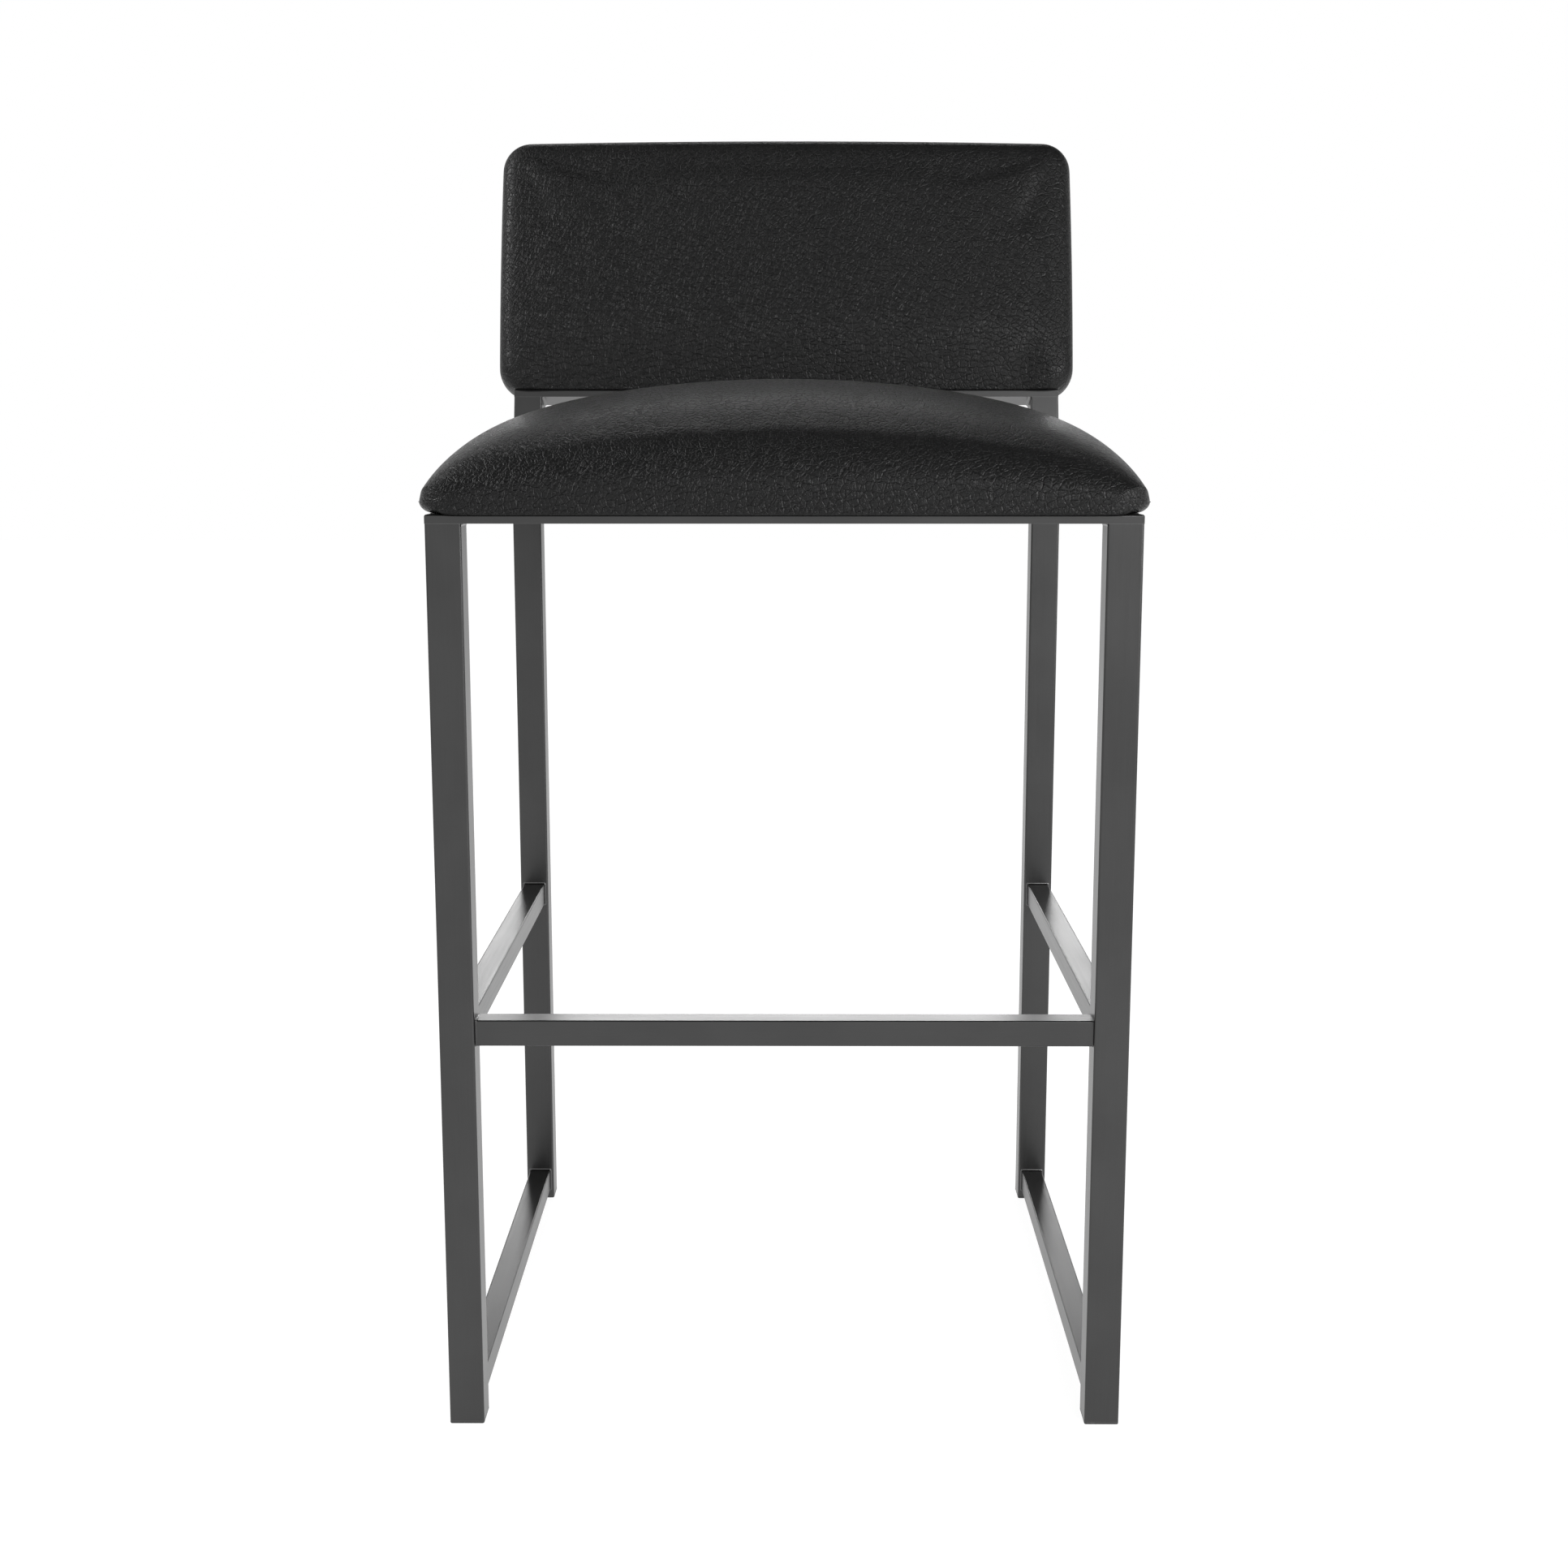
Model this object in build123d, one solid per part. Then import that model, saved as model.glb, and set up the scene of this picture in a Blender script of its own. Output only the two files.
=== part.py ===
from build123d import *
import math
import os

os.makedirs("parts", exist_ok=True)

# Bar stool with footrest.  +Z is up, +X is to the right of someone who faces
# the stool's front, +Y points to the back.  The working origin is the middle
# of the front legs' front face on the floor; every piece is moved at the end
# so that the origin is the middle of the footprint box, on the floor.

# ---------------------------------------------------------------- frame sizes
frame_width = 496.0          # over the outer faces of the legs
frame_depth = 484.6          # over the legs, front to back, at the floor
leg_size = 25.4              # square tube of the legs
leg_wall = 1.5
leg_corner = 1.6             # outer corner radius of the leg tube
bar_size = 19.05             # square tube of footrest and floor runners
bar_wall = 1.2
bar_corner = 1.2
tube_inner_corner = 0.5
seat_frame_top = 670.0       # top of the flat bars that carry the seat
seat_bar_thick = 6.3         # flat bars of the seat frame, as wide as a leg
back_bar_thick = 7.5         # flat bar that carries the back pad
flat_bar_edge = 1.5          # rounding of the flat bars' outer edges
bend_height = 666.0          # where the rear legs start to lean back
lean_angle = 16.7            # degrees from upright
upright_length = 102.2       # from the bend to the top of the back bar
footrest_top = 308.4         # top of the footrest bars above the floor
footrest_setback = 4.2       # front leg's front face to the front bar's
runner_lift = 9.0            # floor to the underside of the runners
rear_bar_setback = 6.0       # rear leg's front face to the rear cross bar

# ---------------------------------------------------------------- leg glides
glide_head = 2.0             # plug head between tube end and floor
glide_plug = 16.0            # length of the plug inside the tube
glide_core = 18.5            # solid core of the plug
glide_fin_gap = 0.15         # each side, fins to the tube's inner walls
glide_fin_thick = 1.5
glide_fins = 3

# ---------------------------------------------------------------- upholstery
leather = 1.5                # leather thickness
soft_gap = 0.3               # clearance between foam and curved neighbours
dust_cloth = 0.5             # underside cloth
flap = 45.0                  # leather turned in under the seat board

seat_overhang = 5.5          # pad past the frame, each side
seat_front_overhang = 5.0    # pad past the front legs
seat_back_gap = 3.0          # pad to the rear legs' front face
seat_crown_height = 96.0     # frame top to the middle of the dome
seat_side_height = 28.0      # frame top to the dome's springing, at the sides
seat_front_height = 24.0     # the same at the front and the back
seat_corner_sink = 57.0      # corner to corner it springs from below the frame
seat_corner_reach = 38.0     # and from beyond the corners
seat_corner_peak = 4.0       # over the dome's middle, so it cuts only corners
seat_corner = 28.0           # corner radius seen from above
seat_bottom_round = 10.0
seat_board_inset = 12.0
seat_board_thick = 12.0
seat_board_corner = 16.0

back_width = 518.0
back_height = 234.0
back_thick = 58.0
back_corner = 21.0           # corner radius seen from the front
back_edge = 20.0             # rounding from the faces into the sides
back_board_thick = 12.0
back_board_inset = 12.0
back_seam = 14.0             # seam plane behind the middle of the pad
back_tab_width = 30.0        # steel straps that hold the back pad
back_tab_thick = 5.0
back_tab_height = 130.0
back_tab_x = 130.0
back_pocket_gap = 1.0

# ---------------------------------------------------------------- fasteners
bolt_d = 6.0
bolt_hole = 7.0
bolt_head_flats = 10.0
bolt_head_high = 4.0
bolt_grip_tip = 1.0          # bolt tip stops short of the T-nut's flange top
washer_d = 12.0
washer_hole = 6.4
washer_thick = 1.6
tnut_flange_d = 19.0
tnut_flange = 1.5
tnut_barrel_d = 7.8
tnut_bore = 6.2
tnut_barrel = 8.5
tnut_seat_gap = 0.2          # radial gap of T-nut in the board
seat_tab_reach = 40.0        # steel tabs welded inside the seat frame
seat_tab_wide = 30.0
seat_tab_thick = 3.0
seat_tab_bolt = 27.0         # side bar's inner edge to the bolt
seat_tab_from_end = 75.0     # side bar's ends to the bolts
back_bolt_low = 45.0         # back bar's top to the lower bolts
back_bolt_high = 105.0

# ---------------------------------------------------------------- staples
staple_crown = 10.0
staple_wire = 0.6
staple_leg = 6.0
staple_in = 7.5              # from the flat bars' inner edges
staple_pitch = 42.0

# ---------------------------------------------------------------- derived
half_width = frame_width / 2
leg_x = half_width - leg_size / 2
inner_half = half_width - leg_size
rear_y = frame_depth - leg_size
bar_half = bar_size / 2
lean = math.radians(lean_angle)
seat_half = half_width + seat_overhang
seat_y0 = -seat_front_overhang
seat_y1 = rear_y - seat_back_gap
cover_bottom = seat_frame_top + dust_cloth
board_bottom = cover_bottom + leather
board_top = board_bottom + seat_board_thick
seat_bolt_x = inner_half - seat_tab_bolt
seat_bolt_y = (leg_size + seat_tab_from_end, rear_y - seat_tab_from_end)
back_mid = leg_size / 2
tab_front = back_mid - back_tab_thick / 2
tab_back = back_mid + back_tab_thick / 2
board_front = tab_front - back_board_thick
back_bolt_z = (back_bolt_low, back_bolt_high)

# Local frame of everything above the bend: local Y runs back from the rear
# legs' front face, local Z runs up along the leaning uprights.
leaning = Pos(0, rear_y, bend_height) * Rot(-lean_angle, 0, 0)
back_bar_top = upright_length


def tube(size, wall, corner, length):
    """Square tube standing on Z = 0."""
    section = RectangleRounded(size, size, corner)
    inside = size - 2 * wall
    section -= RectangleRounded(inside, inside, tube_inner_corner)
    return extrude(section, amount=length)


def block(x0, x1, y0, y1, z0, z1):
    """Plain block between two corners."""
    box = Box(x1 - x0, y1 - y0, z1 - z0)
    return Pos((x0 + x1) / 2, (y0 + y1) / 2, (z0 + z1) / 2) * box


def drill(diameter, x, y, z0, z1):
    """Round cutter along Z."""
    rod = Cylinder(diameter / 2, z1 - z0)
    return Pos(x, y, (z0 + z1) / 2) * rod


# Welded frame: legs --------------------------------------------------------
def front_leg(side):
    """Upright tube under one end of the front top bar."""
    height = seat_frame_top - seat_bar_thick - glide_head
    body = tube(leg_size, leg_wall, leg_corner, height)
    return Pos(side * leg_x, leg_size / 2, glide_head) * body


mitre = Plane(
    origin=(0, rear_y, bend_height),
    x_dir=(1, 0, 0),
    z_dir=(0, math.sin(lean / 2), math.cos(lean / 2)),
)


def rear_leg(side):
    """Upright tube from the floor to the mitre weld at the bend."""
    body = tube(leg_size, leg_wall, leg_corner, bend_height + leg_size)
    body = Pos(side * leg_x, rear_y + leg_size / 2, glide_head) * body
    return split(body, bisect_by=mitre, keep=Keep.BOTTOM)


def back_upright(side):
    """Leaning tube from the mitre weld up to the back bar."""
    top = upright_length - back_bar_thick
    body = tube(leg_size, leg_wall, leg_corner, top + leg_size)
    body = leaning * Pos(side * leg_x, leg_size / 2, -leg_size) * body
    return split(body, bisect_by=mitre, keep=Keep.TOP)


def rear_leg_envelope(side):
    """Outside of the leaning tube, for cutting the bars that meet it."""
    solid = extrude(RectangleRounded(leg_size, leg_size, leg_corner), amount=160)
    upper = leaning * Pos(side * leg_x, leg_size / 2, -leg_size) * solid
    x = side * leg_x
    half = leg_size / 2
    lower = block(x - half, x + half, rear_y, rear_y + leg_size, 0, bend_height)
    return lower + upper


# Welded frame: flat bars ----------------------------------------------------
def front_top_bar():
    """Flat bar across the tops of the front legs."""
    bar = block(
        -half_width, half_width, 0, leg_size,
        seat_frame_top - seat_bar_thick, seat_frame_top,
    )
    edges = bar.edges().filter_by(Axis.X).group_by(Axis.Y)[0]
    edges = edges.sort_by(Axis.Z)[-1:]
    ends = bar.edges().filter_by(Axis.Y).group_by(Axis.Z)[-1]
    return fillet(edges + ends, flat_bar_edge)


def back_top_bar():
    """Flat bar across the tops of the leaning uprights."""
    bar = block(
        -half_width, half_width, 0, leg_size,
        upright_length - back_bar_thick, upright_length,
    )
    edges = bar.edges().filter_by(Axis.X).group_by(Axis.Z)[-1]
    ends = bar.edges().filter_by(Axis.Y).group_by(Axis.Z)[-1]
    return leaning * fillet(edges + ends, flat_bar_edge)


def seat_side_bar(side):
    """Flat bar from the front top bar back to the rear leg."""
    low = seat_frame_top - seat_bar_thick
    x = side * leg_x
    half = leg_size / 2
    bar = block(x - half, x + half, leg_size, rear_y + half, low, seat_frame_top)
    bar -= rear_leg_envelope(side)
    return bar.solids().sort_by(Axis.Y)[0]


def seat_rear_bar():
    """Flat bar between the two side bars, hidden under the seat."""
    y1 = rear_y - rear_bar_setback
    low = seat_frame_top - seat_bar_thick
    return block(-inner_half, inner_half, y1 - leg_size, y1, low, seat_frame_top)


def seat_tabs():
    """Four drilled tabs welded inside the side bars; the seat bolts to them."""
    low = seat_frame_top - seat_tab_thick
    out = []
    for side in (-1, 1):
        for y in seat_bolt_y:
            inner = side * (inner_half - seat_tab_reach)
            x0, x1 = sorted((side * inner_half, inner))
            half = seat_tab_wide / 2
            tab = block(x0, x1, y - half, y + half, low, seat_frame_top)
            corners = tab.edges().filter_by(Axis.Z)
            corners = corners.sort_by(lambda e: abs(e.center().X))[:2]
            tab = fillet(corners, 6.0)
            tab -= drill(bolt_hole, side * seat_bolt_x, y, low - 1, low + 9)
            out.append(tab)
    return out


# Welded frame: footrest and runners ----------------------------------------
def footrest_front_bar():
    """Square tube between the front legs; the heels rest on it."""
    bar = tube(bar_size, bar_wall, bar_corner, 2 * inner_half)
    y = footrest_setback + bar_half
    z = footrest_top - bar_half
    return Pos(-inner_half, y, z) * Rot(0, 90, 0) * bar


def side_rail(side, z):
    """Square tube between a front leg and a rear leg."""
    bar = tube(bar_size, bar_wall, bar_corner, rear_y - leg_size)
    return Pos(side * leg_x, rear_y, z) * Rot(90, 0, 0) * bar


def leg_glide(x, y):
    """Push-in plug that closes the foot of a leg and stands on the floor."""
    head = extrude(RectangleRounded(leg_size, leg_size, leg_corner), glide_head)
    under = head.faces().sort_by(Axis.Z)[0].edges()
    head = fillet(under, 0.8)
    core = extrude(RectangleRounded(glide_core, glide_core, 1.0), glide_plug)
    plug = head + Pos(0, 0, glide_head) * core
    fin = leg_size - 2 * leg_wall - 2 * glide_fin_gap
    step = (glide_plug - 2 * glide_fin_thick) / (glide_fins - 1)
    for i in range(glide_fins):
        z = glide_head + 1.0 + i * step
        ring = extrude(RectangleRounded(fin, fin, 1.0), glide_fin_thick)
        plug += Pos(0, 0, z) * ring
    return Pos(x, y, 0) * plug


# Fasteners ------------------------------------------------------------------
def bolt(grip):
    """Hexagon bolt, head below Z = 0, shank up to Z = grip."""
    across = bolt_head_flats / 2 / math.cos(math.radians(30))
    head = extrude(RegularPolygon(across, 6), amount=-bolt_head_high)
    shank = extrude(Circle(bolt_d / 2), amount=grip)
    return head + shank


def washer():
    """Flat washer standing on Z = 0."""
    ring = Circle(washer_d / 2) - Circle(washer_hole / 2)
    return extrude(ring, amount=washer_thick)


def tnut():
    """T-nut with its flange's top at Z = 0 and its barrel below."""
    flange = extrude(Circle(tnut_flange_d / 2), amount=-tnut_flange)
    length = tnut_flange + tnut_barrel
    barrel = extrude(Circle(tnut_barrel_d / 2), amount=-length)
    bore = extrude(Circle(tnut_bore / 2), amount=-length - 1)
    return flange + barrel - bore


def tnut_seat():
    """Cutter for a T-nut let into a board, flange flush with Z = 0."""
    flange_d = tnut_flange_d + 2 * tnut_seat_gap
    flange = extrude(Circle(flange_d / 2), amount=-tnut_flange)
    barrel_d = tnut_barrel_d + 2 * tnut_seat_gap
    barrel = extrude(Circle(barrel_d / 2), amount=-40)
    return flange + barrel


seat_bolt_places = [
    (side * seat_bolt_x, y) for side in (-1, 1) for y in seat_bolt_y
]
seat_head_z = seat_frame_top - seat_tab_thick - washer_thick
back_bolt_places = [
    (side * back_tab_x, z) for side in (-1, 1) for z in back_bolt_z
]


def facing_front(x, y, z):
    """Places a fastener in the back pad with its own +Z towards the front."""
    return leaning * Pos(x, y, back_bar_top + z) * Rot(90, 0, 0)


def seat_bolts():
    """Four bolts up through the tabs into the seat board's T-nuts."""
    grip = board_top - tnut_flange - bolt_grip_tip - seat_head_z
    return [Pos(x, y, seat_head_z) * bolt(grip) for x, y in seat_bolt_places]


def seat_washers():
    """Washers between the bolt heads and the tabs."""
    return [Pos(x, y, seat_head_z) * washer() for x, y in seat_bolt_places]


def seat_tnuts():
    """T-nuts let into the top of the seat board."""
    return [Pos(x, y, board_top) * tnut() for x, y in seat_bolt_places]


def back_bolts():
    """Four bolts through the straps into the back board's T-nuts."""
    y = tab_back + washer_thick
    grip = y - board_front - tnut_flange - bolt_grip_tip
    return [facing_front(x, y, z) * bolt(grip) for x, z in back_bolt_places]


def back_washers():
    """Washers between the bolt heads and the straps."""
    y = tab_back + washer_thick
    return [facing_front(x, y, z) * washer() for x, z in back_bolt_places]


def back_tnuts():
    """T-nuts let into the front of the back board."""
    return [facing_front(x, board_front, z) * tnut() for x, z in back_bolt_places]


# Staples --------------------------------------------------------------------
def staple():
    """Wire staple, crown under Z = 0 and legs above it."""
    half = staple_crown / 2
    wire = staple_wire
    crown = block(-half, half, -wire / 2, wire / 2, -wire, 0)
    for side in (-1, 1):
        x0, x1 = sorted((side * half, side * (half - wire)))
        crown += block(x0, x1, -wire / 2, wire / 2, -wire, staple_leg)
    return crown


def underside_staples():
    """Staples that hold cloth and turned-in leather to the board."""
    x_line = inner_half - staple_in
    y_front = leg_size + staple_in
    y_rear = rear_y - rear_bar_setback - leg_size - staple_in
    across = int(2 * x_line / staple_pitch)
    along = int((y_rear - y_front) / staple_pitch)
    out = []
    for i in range(across):
        x = (i - (across - 1) / 2) * staple_pitch
        for y in (y_front, y_rear):
            out.append(Pos(x, y, seat_frame_top) * staple())
    for i in range(along):
        y = (y_front + y_rear) / 2 + (i - (along - 1) / 2) * staple_pitch
        near = min(abs(y - tab) for tab in seat_bolt_y)
        if near < seat_tab_wide / 2 + staple_crown / 2 + 1:
            continue
        for side in (-1, 1):
            place = Pos(side * x_line, y, seat_frame_top) * Rot(0, 0, 90)
            out.append(place * staple())
    return out


staples = underside_staples()


# Seat pad -------------------------------------------------------------------
def seat_form(inset):
    """Closed domed pad, brought in by inset on every side."""
    half_x = seat_half - inset
    half_y = (seat_y1 - seat_y0) / 2 - inset
    low = cover_bottom + inset
    top = seat_frame_top + seat_crown_height - inset
    plan = RectangleRounded(2 * half_x, 2 * half_y, seat_corner - inset)
    pad = extrude(plan, amount=top - low + 2)
    rim = pad.faces().sort_by(Axis.Z)[0].edges()
    pad = Pos(0, 0, low) * fillet(rim, seat_bottom_round - inset)

    def arch(half, spring, peak, turn):
        """Long elliptical vault across the pad, turned about Z."""
        middle = seat_frame_top + spring
        profile = Pos(0, middle) * Ellipse(half, peak - middle)
        if middle > low:
            wall = Rectangle(2 * half, middle - low + 10)
            profile += Pos(0, (low + middle) / 2 - 5) * wall
        vault = extrude(Plane.XZ * profile, amount=600, both=True)
        return Rot(0, 0, turn) * vault

    corner = math.degrees(math.atan2(half_y, half_x))
    diagonal = math.hypot(half_x, half_y) + seat_corner_reach
    pad &= arch(half_x, seat_side_height, top, 0)
    pad &= arch(half_y, seat_front_height, top, 90)
    for turn in (-corner, corner):
        pad &= arch(diagonal, -seat_corner_sink, top + seat_corner_peak, turn)
    return Pos(0, (seat_y0 + seat_y1) / 2, 0) * pad


def seat_board_form(grow, low, high):
    """Seat board's outline between two heights."""
    inset = seat_board_inset - grow
    wide = 2 * (seat_half - inset)
    deep = seat_y1 - seat_y0 - 2 * inset
    plan = RectangleRounded(wide, deep, seat_board_corner + grow)
    return Pos(0, (seat_y0 + seat_y1) / 2, low) * extrude(plan, high - low)


def seat_board():
    """Plywood board, drilled and let in for the T-nuts."""
    board = seat_board_form(0, board_bottom, board_top)
    for x, y in seat_bolt_places:
        board -= Pos(x, y, board_top) * tnut_seat()
    return board - staples


def seat_foam():
    """Domed foam that sits on the board and wraps its edge."""
    foam = seat_form(leather + soft_gap)
    pocket = seat_board_form(soft_gap, board_bottom - 5, board_top)
    return foam - pocket


def seat_cover():
    """Leather over the foam, turned in under the board."""
    shell = seat_form(0) - seat_form(leather)
    wide = 2 * (seat_half - flap)
    deep = seat_y1 - seat_y0 - 2 * flap
    opening = extrude(RectangleRounded(wide, deep, 12), amount=10)
    shell -= Pos(0, (seat_y0 + seat_y1) / 2, cover_bottom - 5) * opening
    return shell - staples


def seat_dust_cloth():
    """Thin cloth under the board, between it and the frame."""
    cloth = seat_board_form(-2, seat_frame_top, seat_frame_top + dust_cloth)
    for x, y in seat_bolt_places:
        cloth -= drill(bolt_hole, x, y, seat_frame_top - 1, seat_frame_top + 2)
    return cloth - staples


# Back pad, in the leaning frame --------------------------------------------
def back_form(inset):
    """Closed rounded pad, brought in by inset on every side."""
    wide = back_width - 2 * inset
    high = back_height - 2 * inset
    thick = back_thick - 2 * inset
    plan = RectangleRounded(wide, high, back_corner - inset)
    pad = extrude(plan, amount=thick)
    rims = pad.faces().filter_by(Axis.Z).edges()
    pad = fillet(rims, back_edge - inset)
    pad = Pos(0, thick / 2, 0) * Rot(90, 0, 0) * pad
    return Pos(0, back_mid, back_bar_top + back_height / 2) * pad


def back_side_of(y, front):
    """Large block in front of, or behind, a plane across the pad."""
    far = 200.0
    y0, y1 = (y - far, y) if front else (y, y + far)
    return block(-400, 400, y0, y1, back_bar_top - 50, back_bar_top + 400)


def back_tab(side):
    """Steel strap welded on the back bar, standing up inside the pad."""
    half = back_tab_width / 2
    x = side * back_tab_x
    top = back_bar_top + back_tab_height
    tab = block(x - half, x + half, tab_front, tab_back, back_bar_top, top)
    corners = tab.edges().filter_by(Axis.Y).group_by(Axis.Z)[-1]
    tab = fillet(corners, 6.0)
    tab = leaning * tab
    for z in back_bolt_z:
        hole = Cylinder(bolt_hole / 2, 3 * back_tab_thick)
        tab -= facing_front(x, back_mid, z) * hole
    return tab


def back_board_form(grow, y0, y1):
    """Back board's outline between two depths, in the leaning frame."""
    wide = back_width - 2 * (back_board_inset - grow)
    high = back_height - 2 * (back_board_inset - grow)
    plan = RectangleRounded(wide, high, back_corner - 9 + grow)
    slab = Rot(90, 0, 0) * extrude(plan, amount=y1 - y0)
    return Pos(0, y1, back_bar_top + back_height / 2) * slab


def back_board():
    """Plywood board, drilled and let in for the T-nuts."""
    board = leaning * back_board_form(0, board_front, tab_front)
    for x, z in back_bolt_places:
        board -= facing_front(x, board_front, z) * tnut_seat()
    return board


def back_foam_front():
    """Foam in front of the board, wrapped round its edge."""
    foam = back_form(leather + soft_gap) & back_side_of(tab_front, True)
    foam -= back_board_form(soft_gap, board_front, tab_front + 5)
    return leaning * foam


def back_foam_rear():
    """Foam behind the board, with a pocket for each strap and its bolts."""
    foam = back_form(leather + soft_gap) & back_side_of(tab_front, False)
    half = back_tab_width / 2 + back_pocket_gap
    deep = tab_back + washer_thick + bolt_head_high + back_pocket_gap
    high = back_bar_top + back_tab_height + back_pocket_gap
    for side in (-1, 1):
        x = side * back_tab_x
        foam -= block(x - half, x + half, tab_front - 1, deep, back_bar_top - 5, high)
    return leaning * foam


def back_shell():
    """Leather shell of the back pad, slotted below for the straps."""
    shell = back_form(0) - back_form(leather)
    half = back_tab_width / 2 + soft_gap
    for side in (-1, 1):
        x = side * back_tab_x
        shell -= block(
            x - half, x + half, tab_front - soft_gap, tab_back + soft_gap,
            back_bar_top - 5, back_bar_top + 10,
        )
    return shell


def back_cover_front():
    """Leather over the front, the sides and the edges, up to the seam."""
    return leaning * (back_shell() & back_side_of(back_mid + back_seam, True))


def back_cover_rear():
    """Leather panel over the back of the pad, behind the seam."""
    return leaning * (back_shell() & back_side_of(back_mid + back_seam, False))


# All pieces -----------------------------------------------------------------
sides = {"left": -1, "right": 1}
footrest_z = footrest_top - bar_half
runner_z = runner_lift + bar_half
pieces = {
    "front_top_bar": front_top_bar(),
    "back_top_bar": back_top_bar(),
    "seat_rear_bar": seat_rear_bar(),
    "seat_tabs": seat_tabs(),
    "footrest_front_bar": footrest_front_bar(),
    "seat_board": seat_board(),
    "seat_foam": seat_foam(),
    "seat_cover": seat_cover(),
    "seat_dust_cloth": seat_dust_cloth(),
    "seat_tnuts": seat_tnuts(),
    "seat_bolts": seat_bolts(),
    "seat_washers": seat_washers(),
    "underside_staples": staples,
    "back_board": back_board(),
    "back_foam_front": back_foam_front(),
    "back_foam_rear": back_foam_rear(),
    "back_cover_front": back_cover_front(),
    "back_cover_rear": back_cover_rear(),
    "back_tnuts": back_tnuts(),
    "back_bolts": back_bolts(),
    "back_washers": back_washers(),
}
for name, side in sides.items():
    pieces["front_leg_" + name] = front_leg(side)
    pieces["rear_leg_" + name] = rear_leg(side)
    pieces["back_upright_" + name] = back_upright(side)
    pieces["seat_side_bar_" + name] = seat_side_bar(side)
    pieces["footrest_side_bar_" + name] = side_rail(side, footrest_z)
    pieces["floor_runner_" + name] = side_rail(side, runner_z)
    pieces["back_strap_" + name] = back_tab(side)
    x = side * leg_x
    pieces["glide_front_" + name] = leg_glide(x, leg_size / 2)
    pieces["glide_rear_" + name] = leg_glide(x, rear_y + leg_size / 2)


def solids_of(piece):
    """Plain list of the solids in a piece or in a group of pieces."""
    group = piece if isinstance(piece, list) else [piece]
    return [solid for item in group for solid in item.solids()]


solids = {name: solids_of(piece) for name, piece in pieces.items()}
whole = Compound(children=[s.moved(Location()) for g in solids.values() for s in g])
box = whole.bounding_box()
to_origin = Location((0, -(box.min.Y + box.max.Y) / 2, 0))
for name, group in solids.items():
    group = [solid.moved(to_origin) for solid in group]
    export_step(Compound(group) if len(group) > 1 else group[0], f"parts/{name}.step")

print("moved in Y by", round(to_origin.position.Y, 3))
print("overall size", box.size)
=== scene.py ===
import math

import bmesh
import bpy
from mathutils import Matrix, Vector


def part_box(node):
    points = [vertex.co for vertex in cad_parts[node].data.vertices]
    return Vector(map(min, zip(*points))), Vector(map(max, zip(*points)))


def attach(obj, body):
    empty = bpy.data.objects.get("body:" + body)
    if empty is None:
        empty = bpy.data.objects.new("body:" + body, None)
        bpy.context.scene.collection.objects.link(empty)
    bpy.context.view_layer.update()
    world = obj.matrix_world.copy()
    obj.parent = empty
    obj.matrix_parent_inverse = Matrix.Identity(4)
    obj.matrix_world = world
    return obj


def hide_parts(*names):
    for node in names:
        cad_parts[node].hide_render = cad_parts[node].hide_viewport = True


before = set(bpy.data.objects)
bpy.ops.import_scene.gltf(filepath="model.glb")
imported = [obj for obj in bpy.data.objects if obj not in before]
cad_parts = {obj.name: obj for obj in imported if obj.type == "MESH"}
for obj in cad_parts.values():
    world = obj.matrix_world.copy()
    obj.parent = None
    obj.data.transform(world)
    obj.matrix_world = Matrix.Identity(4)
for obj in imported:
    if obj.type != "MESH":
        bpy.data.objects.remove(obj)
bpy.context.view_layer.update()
bpy.ops.object.select_all(action="DESELECT")

MM = 0.001


# ----------------------------------------------------------------------------
# Legs and leaning uprights.  One-inch square steel tube, brushed along its
# length and given a dark satin finish.  The rear pair is mitred above the seat
# frame and leans back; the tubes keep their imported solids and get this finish.
# ----------------------------------------------------------------------------
class Field:
    """The output of a shader node, which takes part in sums as a number does."""

    def __init__(self, finish, socket):
        self.finish = finish
        self.socket = socket

    def sum(self, operation, first, second):
        settings = {"operation": operation}
        return self.finish.node("Math", settings, {0: first, 1: second})

    def __add__(self, other):
        return self.sum("ADD", self, other)

    def __radd__(self, other):
        return self.sum("ADD", other, self)

    def __sub__(self, other):
        return self.sum("SUBTRACT", self, other)

    def __rsub__(self, other):
        return self.sum("SUBTRACT", other, self)

    def __mul__(self, other):
        return self.sum("MULTIPLY", self, other)

    def __rmul__(self, other):
        return self.sum("MULTIPLY", other, self)


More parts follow.
